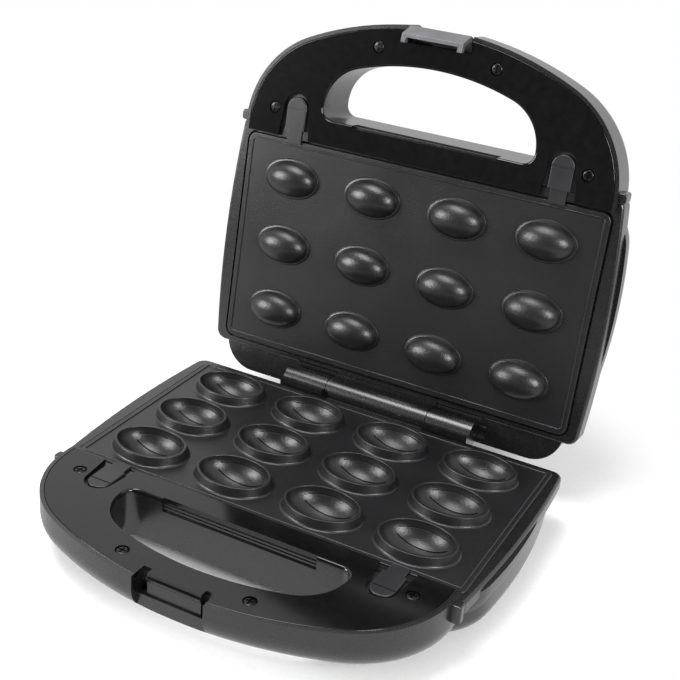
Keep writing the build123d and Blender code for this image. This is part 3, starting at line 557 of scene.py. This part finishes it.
# Decks: a flat D-shaped cover round the handle hole
deckShape = {"half": 104.75, "apex": 130.75, "radius": 174.75, "corner": 53.75, "back": 61.0, "backCorner": 0.6}
holeShape = {"half": 60.8, "apex": 111.8, "radius": 140.0, "corner": 25.0, "back": 75.0, "backCorner": 6.0}
deck = {"thickness": 2.2, "edgeRound": 0.45, "holeRound": 1.3, "frontPast": 5.0}
notch = {"half": 42.0, "depth": 1.4}
slot = {"x": 76.5, "half": 9.7, "tipRadius": 7.6, "tipY": 78.2}
latchCut = {"half": 18.4, "lowerY": 126.5, "upperY": 123.2, "pocketInner": 14.0, "pocketY": 122.6,
            "overlap": 0.5, "inside": 0.005}
screw = {"places": ((-90.0, -76.0), (-33.2, -118.4), (33.2, -118.4), (90.0, -76.0)), "recess": 3.4, "head": 3.0,
         "height": 1.4, "seat": 0.05, "shank": 1.5, "shankGap": 0.2, "length": 9.0, "cross": 2.2, "crossWidth": 0.7,
         "crossDepth": 0.8, "crown": ((0, 0.75), (0.12, 0.45), (0.45, 0.2), (1.1, 0.05), (1.8, 0))}


def circle(x, y, radius, steps):
    return arc(x, y, radius, 0, 2 * pi, steps)[:-1]


def slotOutline(x):
    tip = arc(x, -slot["tipY"], slot["tipRadius"], 0, -pi, steps=24)
    return [(x + slot["half"], past - deckShape["back"])] + tip + [(x - slot["half"], past - deckShape["back"])]


def buildDeck(half):
    bm = bmesh.new()
    top = half["deck"]
    under = top - deck["thickness"]
    sections = [(dOutline(deckShape, 0), under)]
    side, hole = rounded(deck["edgeRound"], steps=4), rounded(deck["holeRound"], steps=6)
    sections += [(dOutline(deckShape, out), top - drop) for out, drop in reversed(side)]
    sections += [(dOutline(holeShape, -out), top - drop) for out, drop in hole]
    sections.append((dOutline(holeShape, 0), under))
    loft(bm, sections + sections[:1])
    piece = makeObject(half["name"] + "_deck_cover", bm)
    low, high = under - past, top + past
    middle = notch["depth"] / 2 - holeShape["back"] - deck["holeRound"] / 2
    front = deckShape["apex"] + deck["frontPast"]
    cutY = latchCut["lowerY"] if half is baseHalf else latchCut["upperY"]
    openings = [rectangle(0, middle, 2 * notch["half"], notch["depth"] + deck["holeRound"]),
                rectangle(0, -(front + cutY) / 2, 2 * latchCut["half"], front - cutY)]
    openings += [slotOutline(side * slot["x"]) for side in (-1, 1)]
    holes = [circle(x, y, screw["shank"] + screw["shankGap"], steps=24) for x, y in screw["places"]]
    if half is baseHalf:
        # Pockets for the clip's two hooks
        width = latchCut["half"] - latchCut["pocketInner"]
        pocketFront = latchCut["lowerY"] + latchCut["overlap"]
        holes += [rectangle(side * (latchCut["half"] - width / 2), -(pocketFront + latchCut["pocketY"]) / 2,
                            width - 2 * latchCut["inside"], pocketFront - latchCut["pocketY"]) for side in (-1, 1)]
    beds = [circle(x, y, screw["recess"], steps=40) for x, y in screw["places"]]
    carve(piece, prisms(openings, low, high), prisms(beds, top - screw["height"] - screw["seat"], high),
          prisms(holes, low, high))
    dress(piece, half, materials["polished_black_abs"], [half["name"] + "_deck"])


def crossOutline(x, y, reach, half):
    quarter = [(reach, -half), (reach, half), (half, half)]
    turned = []
    for step in range(4):
        turned += [(x + px * cos(pi / 2 * step) - py * sin(pi / 2 * step),
                    y + px * sin(pi / 2 * step) + py * cos(pi / 2 * step)) for px, py in quarter]
    return turned


def buildScrews(half):
    # Domed pan heads with a cross recess
    bm = bmesh.new()
    top = half["deck"]
    bed = top - screw["height"]
    profile = [(screw["shank"], bed - screw["length"]), (screw["shank"], bed), (screw["head"], bed)]
    profile += [(screw["head"] - inward, top - drop) for inward, drop in screw["crown"]]
    for place in screw["places"]:
        sections = [(circle(*place, radius, steps=40), height) for radius, height in profile]
        loft(bm, sections, capStart=True, capEnd=True)
    piece = makeObject(half["name"] + "_cross_screws", bm)
    crosses = [crossOutline(x, y, screw["cross"], screw["crossWidth"] / 2) for x, y in screw["places"]]
    carve(piece, prisms(crosses, top - screw["crossDepth"], top + past))
    dress(piece, half, materials["blackened_steel"], [half["name"] + "_deck_screws"], angle=35)


# Release buttons: a tab with a finger groove over a wider keeper, and a nose that
# reaches over the plate's edge
button = {"half": 6.1, "front": 83.8, "back": 66.0, "sink": 0.3, "round": 0.7, "foot": 0.1, "grooveY": 77.6,
          "grooveWidth": 1.0, "grooveDepth": 0.5, "keeperExtra": 3.8, "keeperThickness": 1.5, "play": 0.2,
          "noseHalf": 4.5, "noseReach": 1.2, "noseThickness": 1.3, "noseClearance": 0.15, "noseRoot": 1.0,
          "noseRound": 0.3, "longEdge": 2.0}


def tabOutline(x, grow):
    radius = button["half"] + grow
    tip = arc(x, button["half"] - button["front"], radius, 0, -pi, steps=24)
    return [(x + radius, -button["back"])] + tip + [(x - radius, -button["back"])]


def buildButton(half, side, sideName):
    bm = bmesh.new()
    x = side * half["right"] * slot["x"]
    top = half["deck"] - button["sink"]
    keeperTop = half["deck"] - deck["thickness"] - button["play"]
    sections = [(tabOutline(x, 0), keeperTop - button["foot"])]
    edges = reversed(rounded(button["round"], steps=5))
    sections += [(tabOutline(x, -out), top - drop) for out, drop in edges]
    loft(bm, sections, capStart=True, capEnd=True)
    name = "%s_release_button_%s" % (half["name"], sideName)
    tab = makeObject(name + "_tab", bm)
    groove = rectangle(x, -button["grooveY"], 2 * button["half"] + past, button["grooveWidth"])
    carve(tab, prisms([groove], top - button["grooveDepth"], top + past))
    joinBlocks(tab, prisms([tabOutline(x, button["keeperExtra"])], keeperTop - button["keeperThickness"], keeperTop))
    low = half["plate"] + button["noseClearance"]
    tipY = -(plate["y"] / 2 - plateMiddle) + button["noseReach"]
    rootY = -button["back"] - button["noseRoot"]
    outline = rectangle(x, (tipY + rootY) / 2, 2 * button["noseHalf"], tipY - rootY)
    bm = prisms([outline], low, low + button["noseThickness"])
    bmesh.ops.recalc_face_normals(bm, faces=bm.faces)
    edges = [edge for edge in bm.edges if edge.calc_length() > button["longEdge"]]
    bmesh.ops.bevel(bm, geom=edges, offset=button["noseRound"], segments=3, profile=0.5, affect="EDGES", material=-1)
    for piece in (tab, makeObject(name + "_nose", bm)):
        dress(piece, half, materials["satin_black_nylon"], [name], body=name + "_body")


# Latch clip: a lipped plate on a barrel. The edge that reaches the base has a hook at
# both of its ends.
latch = {"half": 17.0, "pivotY": 127.0, "pivotZ": -5.5, "barrel": 2.8, "pin": 1.55, "topY": 132.2, "topZ": 2.5,
         "endY": 128.6, "endZ": 12.6, "thickness": 2.8, "barbY": 123.8, "barbZ": 13.4, "barbFace": 9.6,
         "hookX": 14.4, "hookY": 126.6, "hookTop": 8.6, "round": 0.45, "sharpFrom": 25,
         "barrelArc": (180, 400, 12)}


def buildLatch():
    lean = (latch["topY"] - latch["endY"]) / (latch["endZ"] - latch["topZ"])
    root = latch["thickness"] - latch["topY"] + lean * (latch["barbFace"] - latch["topZ"])
    barrel = [(-latch["pivotY"] + latch["barrel"] * cos(turn), latch["pivotZ"] + latch["barrel"] * sin(turn))
              for turn in [radians(angle) for angle in range(*latch["barrelArc"])]]
    section = [(-latch["topY"], latch["topZ"]), (-latch["endY"], latch["endZ"]), (-latch["barbY"], latch["barbZ"]),
               (-latch["barbY"], latch["barbFace"]), (root, latch["barbFace"]),
               (latch["thickness"] - latch["topY"], latch["topZ"])] + barrel[::-1]
    bm = extrusion(section, latch["half"])
    sharp = [edge for edge in bm.edges if edge.calc_face_angle(0) > radians(latch["sharpFrom"])]
    bmesh.ops.bevel(bm, geom=sharp, offset=latch["round"], segments=4, profile=0.5, affect="EDGES", material=-1,
                    clamp_overlap=True)
    piece = makeObject("latch_clip_moulding", bm)
    bore = bmesh.new()
    bmesh.ops.create_cone(bore, cap_ends=True, segments=32, radius1=latch["pin"], radius2=latch["pin"],
                          depth=2 * (latch["half"] + past))
    bmesh.ops.rotate(bore, verts=bore.verts, matrix=Matrix.Rotation(pi / 2, 3, "Y"))
    bmesh.ops.translate(bore, verts=bore.verts, vec=(0, -latch["pivotY"], latch["pivotZ"]))
    openY = latch["barbY"] - past
    gap = rectangle(0, -(openY + latch["hookY"]) / 2, 2 * latch["hookX"], latch["hookY"] - openY)
    carve(piece, bore, prisms([gap], latch["hookTop"], latch["barbZ"] + past))
    dress(piece, lidHalf, materials["satin_grey_nylon"], ["latch_clip"], body="latch")


# Base: the catch's face between its two hook slots, and a thin pan under the rim
catch = {"half": 13.9, "lowHalf": 18.3, "slopeY": 126.0, "slopeZ": 3.4, "faceY": 126.4, "faceZ": 6.0,
         "slotZ": 14.2, "overlap": 0.05, "lowZ": 17.0, "lowY": 127.48, "backY": 124.2, "backZ": 8.0,
         "innerY": 125.9, "innerZ": 5.2}
baseBowl = {"front": 67.9, "back": 65.9, "bulge": 115.7, "radius": 300.0, "bulgeY": -8.0,
            "frontCorner": 32.0, "backCorner": 11.0, "top": 9.4, "depth": 33.55, "round": 10.5, "sheet": 0.8}


def buildCatch():
    foot = -catch["slotZ"] - catch["overlap"]
    section = [(-catch["slopeY"], -catch["slopeZ"]), (-catch["faceY"], -catch["faceZ"]), (-catch["faceY"], foot),
               (-catch["backY"], foot), (-catch["backY"], -catch["backZ"]), (-catch["innerY"], -catch["innerZ"])]
    piece = makeObject("lower_catch_face", extrusion(section, catch["half"]))
    joinBlocks(piece, prisms([rectangle(0, -(catch["backY"] + catch["lowY"]) / 2, 2 * catch["lowHalf"],
                                        catch["lowY"] - catch["backY"])], -catch["lowZ"], -catch["slotZ"]))
    dress(piece, baseHalf, materials["blasted_black_abs"])


def buildBowl():
    # Thin pan over the base's underside, with the tight round that the side shows
    deep, wall, sheet = -baseBowl["depth"], baseBowl["round"], baseBowl["sheet"]
    inner, outer = rounded(wall - sheet, steps=8), rounded(wall, steps=10)
    sections = [(bowedOutline(baseBowl, sheet + out), deep + sheet + drop) for out, drop in inner]
    sections += [(bowedOutline(baseBowl, inset), -baseBowl["top"]) for inset in (sheet, 0)]
    sections += [(bowedOutline(baseBowl, out), deep + drop) for out, drop in reversed(outer)]
    bm = bmesh.new()
    loft(bm, sections, capStart=True, capEnd=True)
    dress(makeObject("lower_bowl_skin", bm), baseHalf, materials["blasted_black_abs"])


for half in halves:
    buildPlate(half)
    buildDeck(half)
    buildScrews(half)
    for side, sideName in ((-1, "left"), (1, "right")):
        buildButton(half, side, sideName)
buildLatch()
buildCatch()
buildBowl()
print("plates, decks, buttons, latch and base skin built")


# Camera: its place in metres, its angles in degrees, its lens and sensor in millimetres
camera = {"place": (0.2430, -0.4903, 0.3656), "turn": 25.53, "down": 25.59, "roll": 4.96, "lens": 65.93,
          "sensor": 36, "near": 0.01}


def makeCamera():
    lens = bpy.data.cameras.new("camera")
    lens.lens = camera["lens"]
    lens.sensor_width = camera["sensor"]
    lens.clip_start = camera["near"]
    view = bpy.data.objects.new("camera", lens)
    bpy.context.scene.collection.objects.link(view)
    turn = Matrix.Rotation(radians(camera["turn"]), 4, "Z")
    down = Matrix.Rotation(radians(90 - camera["down"]), 4, "X")
    roll = Matrix.Rotation(radians(camera["roll"]), 4, "Z")
    view.matrix_world = Matrix.Translation(camera["place"]) @ turn @ down @ roll
    bpy.context.scene.camera = view


# Matt white paper: flat, with a barely visible 2.5 mm mottle of its fibres
paper = {"sockets": {"Roughness": 0.9, "Specular IOR Level": 0.1},
         "colour": {"between": ("#f0f0f0", "#f4f4f4"), "size": 2.5}}
floorLook = {"radius": 0.45, "segments": 96, "middle": (0, 0.04, 0), "shadowTo": 0.14, "whiteFrom": 0.23,
             "white": "#ffffff"}


def makeFloor():
    bm = bmesh.new()
    bmesh.ops.create_circle(bm, cap_ends=True, segments=floorLook["segments"], radius=floorLook["radius"])
    mesh = bpy.data.meshes.new("floor")
    bm.to_mesh(mesh)
    bm.free()
    floor = bpy.data.objects.new("floor", mesh)
    bpy.context.scene.collection.objects.link(floor)
    material = makeMaterial("white_paper", paper)
    tree = material.node_tree
    shader, output = tree.nodes["Principled BSDF"], tree.nodes["Material Output"]
    # White for mirrors and glass, and white to the eye away from the object's shadow
    rays = addNode(tree, "ShaderNodeLightPath")
    where = addNode(tree, "ShaderNodeTexCoord")
    mirrored = addNode(tree, "ShaderNodeMath", {"operation": "MAXIMUM"},
                       links={0: (rays, "Is Glossy Ray"), 1: (rays, "Is Transmission Ray")})
    spread = addNode(tree, "ShaderNodeVectorMath", {"operation": "DISTANCE"}, {1: floorLook["middle"]},
                     {0: (where, "Object")})
    far = addNode(tree, "ShaderNodeMapRange", {"interpolation_type": "SMOOTHSTEP"},
                  {"From Min": floorLook["shadowTo"], "From Max": floorLook["whiteFrom"]},
                  {"Value": (spread, "Value")})
    eye = addNode(tree, "ShaderNodeMath", {"operation": "MULTIPLY"},
                  links={0: (rays, "Is Camera Ray"), 1: (far, "Result")})
    share = addNode(tree, "ShaderNodeMath", {"operation": "MAXIMUM"},
                    links={0: (mirrored, "Value"), 1: (eye, "Value")})
    white = addNode(tree, "ShaderNodeEmission", inputs={"Color": srgb(floorLook["white"]), "Strength": 1.0})
    both = addNode(tree, "ShaderNodeMixShader",
                   links={"Fac": (share, "Value"), 1: (shader, "BSDF"), 2: (white, "Emission")})
    tree.links.new(both.outputs["Shader"], output.inputs["Surface"])
    floor.data.materials.append(material)


# Three soft boxes, in metres and watts, all aimed at the middle of the object
lights = {
    "left": {"at": (-0.86, -0.70, 0.42), "size": (0.42, 0.55), "power": 14},
    "top": {"at": (-0.20, -0.25, 1.20), "size": (0.70, 0.45), "power": 11},
    "right": {"at": (0.82, -0.62, 0.56), "size": (0.36, 0.50), "power": 12}}
lightTarget = Vector((0, 0, 0.08))


def makeLights():
    for name, values in lights.items():
        lamp = bpy.data.lights.new(name, "AREA")
        lamp.shape = "RECTANGLE"
        lamp.size, lamp.size_y = values["size"]
        lamp.energy = values["power"]
        piece = bpy.data.objects.new(name, lamp)
        bpy.context.scene.collection.objects.link(piece)
        aim = (lightTarget - Vector(values["at"])).to_track_quat("-Z", "Y")
        piece.matrix_world = Matrix.Translation(values["at"]) @ aim.to_matrix().to_4x4()


# Even white light. Reflections see it fall to dark towards the front of the room.
worldLook = {"colour": "#ffffff", "level": 0.55, "dark": 0.12, "darkFrom": -0.55, "lightFrom": 0.1}


def makeWorld():
    world = bpy.data.worlds.new("studio")
    world.use_nodes = True
    bpy.context.scene.world = world
    tree = world.node_tree
    background = tree.nodes["Background"]
    rays = addNode(tree, "ShaderNodeLightPath")
    seen = addNode(tree, "ShaderNodeMath", {"operation": "MAXIMUM"},
                   links={0: (rays, "Is Camera Ray"), 1: (rays, "Is Transmission Ray")})
    where = addNode(tree, "ShaderNodeTexCoord")
    split = addNode(tree, "ShaderNodeSeparateXYZ", links={"Vector": (where, "Generated")})
    sweep = addNode(tree, "ShaderNodeMapRange", {"interpolation_type": "SMOOTHSTEP"},
                    {"From Min": worldLook["darkFrom"], "From Max": worldLook["lightFrom"],
                     "To Min": worldLook["dark"], "To Max": 1.0}, {"Value": (split, "Y")})
    glossy = addNode(tree, "ShaderNodeMix", {"data_type": "FLOAT"}, {2: worldLook["level"]},
                     {0: (rays, "Is Glossy Ray"), 3: (sweep, "Result")})
    level = addNode(tree, "ShaderNodeMix", {"data_type": "FLOAT"}, {3: 1.0},
                    {0: (seen, "Value"), 2: (glossy, "Result")})
    background.inputs["Color"].default_value = srgb(worldLook["colour"])
    tree.links.new(level.outputs["Result"], background.inputs["Strength"])


bpy.context.scene.view_settings.view_transform = "Standard"
makeCamera()
makeFloor()
makeLights()
makeWorld()
print("camera, floor and light done")
